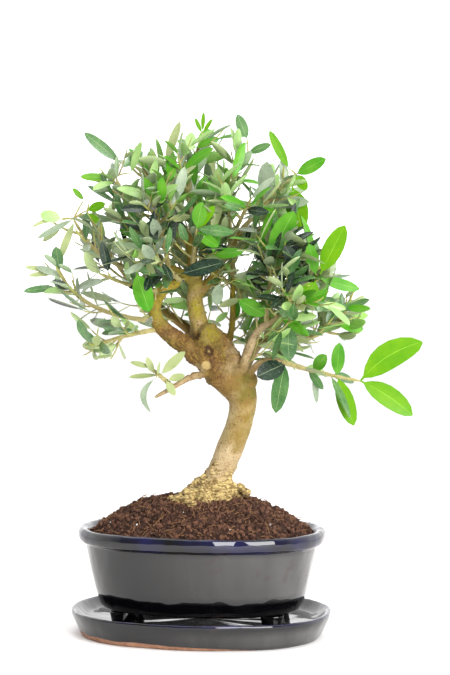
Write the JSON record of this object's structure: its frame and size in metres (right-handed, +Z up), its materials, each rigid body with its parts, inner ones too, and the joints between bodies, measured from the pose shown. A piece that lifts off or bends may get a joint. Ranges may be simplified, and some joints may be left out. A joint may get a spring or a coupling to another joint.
{
  "type": "potted olive bonsai",
  "caption": "Small potted olive tree with a leaning forked trunk, spreading boughs and separate masses of leaves, in an oval glazed pot on a drip tray.",
  "frame": {"origin": "middle of the tray's flat underside", "axes": "+Z up along the plant's height, -Y towards the side that the picture shows, +X towards the picture's right"},
  "size_m": [0.2292, 0.1521, 0.3119],
  "materials": {
    "glaze": "glossy black glaze",
    "soil": "crumbly dark peat",
    "bark": "rough tan bark",
    "leaf": "leathery grey green leaf",
    "young_leaf": "young bright green leaf"
  },
  "bodies": {
    "root": {"tray": "glaze", "pot": "glaze", "pot_foot_front_left": "glaze", "pot_foot_front_right": "glaze", "pot_foot_back_left": "glaze", "pot_foot_back_right": "glaze", "soil": "soil", "trunk": "bark", "leader": "bark", "left_bough": "bark", "left_hook": "bark", "right_bough": "bark", "right_middle_bough": "bark", "right_low_bough": "bark", "upright_bough": "bark", "low_left_bough": "bark", "crown_left_bough": "bark", "crown_middle_bough": "bark", "crown_right_bough": "bark", "crown_back_bough": "bark", "back_left_bough": "bark", "back_right_bough": "bark", "left_low_foliage": "leaf", "left_hanging_foliage": "leaf", "left_middle_foliage": "leaf", "left_upper_foliage": "leaf", "upper_left_foliage": "leaf", "top_left_foliage": "leaf", "top_foliage": "leaf", "top_right_foliage": "leaf", "right_top_foliage": "young_leaf", "right_foliage": "leaf", "right_inner_foliage": "leaf", "right_middle_foliage": "leaf", "right_low_shoot": "young_leaf", "low_left_foliage": "leaf", "upright_foliage": "leaf", "front_foliage": "young_leaf", "front_upper_left_foliage": "leaf", "front_upper_right_foliage": "leaf", "front_left_foliage": "leaf", "front_right_foliage": "leaf", "back_left_foliage": "leaf", "back_right_foliage": "leaf", "back_top_foliage": "leaf", "back_upper_left_foliage": "leaf", "back_upper_right_foliage": "leaf"}
  },
  "joints": []
}
